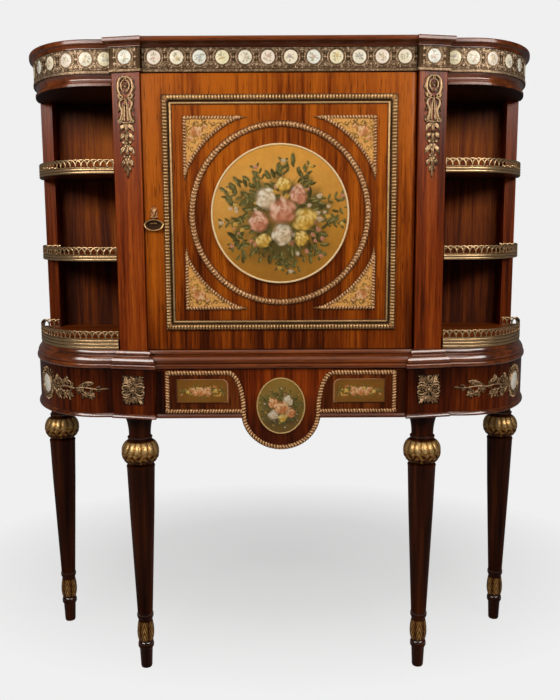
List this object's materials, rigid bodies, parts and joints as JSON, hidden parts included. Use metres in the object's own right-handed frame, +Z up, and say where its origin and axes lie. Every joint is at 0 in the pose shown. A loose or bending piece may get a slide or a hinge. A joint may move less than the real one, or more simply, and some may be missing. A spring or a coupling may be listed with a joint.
{
  "type": "side cabinet",
  "caption": "Rounded-end side cabinet on turned legs: a door with a drop pull between canted pilasters, open galleried end shelves, bronze mounts and painted plaques.",
  "frame": {"origin": "on the floor, under the middle of the overall width and depth", "axes": "+X to the right as seen from the front, +Y to the back, +Z up; the door faces -Y"},
  "size_m": [1.0876, 0.3126, 1.27],
  "materials": {
    "mahogany": "french polished, vertical figure",
    "dark_wood": "polished, stained dark",
    "bronze": "chased, with dark recesses",
    "porcelain": "opaque glaze with painted flowers",
    "steel": "bright",
    "brown_plastic": "matte"
  },
  "bodies": {
    "cabinet": {"top_board": "mahogany", "frieze_rail": "mahogany", "frieze_end_left": "mahogany", "frieze_end_right": "mahogany", "pilaster_left": "mahogany", "pilaster_right": "mahogany", "case_side_left": "mahogany", "case_side_right": "mahogany", "back_panel": "mahogany", "back_post_left": "mahogany", "back_post_right": "mahogany", "waist_board": "mahogany", "base_shelf_left": "mahogany", "base_shelf_right": "mahogany", "end_shelf_upper_left": "mahogany", "end_shelf_upper_right": "mahogany", "end_shelf_lower_left": "mahogany", "end_shelf_lower_right": "mahogany", "apron_centre": "mahogany", "apron_end_left": "mahogany", "apron_end_right": "mahogany", "inner_shelf": "mahogany", "back_rail": "dark_wood", "leg_front_left": "dark_wood", "leg_front_right": "dark_wood", "leg_rear_left": "dark_wood", "leg_rear_right": "dark_wood", "frieze_band": "bronze", "gallery_upper_left": "bronze", "gallery_upper_right": "bronze", "gallery_lower_left": "bronze", "gallery_lower_right": "bronze", "gallery_base_left": "bronze", "gallery_base_right": "bronze", "pilaster_mount_left": "bronze", "pilaster_mount_right": "bronze", "rosette_mount_left": "bronze", "rosette_mount_right": "bronze", "end_mount_left": "bronze", "end_mount_right": "bronze", "apron_bead": "bronze", "apron_plaque_left": "porcelain", "apron_plaque_right": "porcelain", "pendant_medallion": "porcelain", "hinge_case_upper": "steel", "hinge_case_lower": "steel", "catch_magnet": "brown_plastic"},
    "door": {"door_panel": "mahogany", "door_frame_moulding": "bronze", "door_ring_moulding": "bronze", "pull_crest": "bronze", "door_medallion": "porcelain", "spandrel_top_left": "porcelain", "spandrel_top_right": "porcelain", "spandrel_bottom_left": "porcelain", "spandrel_bottom_right": "porcelain", "hinge_door_upper": "steel", "hinge_door_lower": "steel", "catch_plate": "steel"},
    "pull": {"pull_drop": "bronze"}
  },
  "joints": [
    {"name": "door_hinge", "type": "hinge", "parent": "cabinet", "child": "door", "pos_m": [0.2505, -0.11566, 0.94515], "axis": [0, 0, 1], "range_deg": [0, 90]},
    {"name": "pull_hinge", "type": "hinge", "parent": "door", "child": "pull", "pos_m": [-0.242, -0.13386, 0.93965], "axis": [-1, 0, 0], "range_deg": [0, 75]}
  ]
}
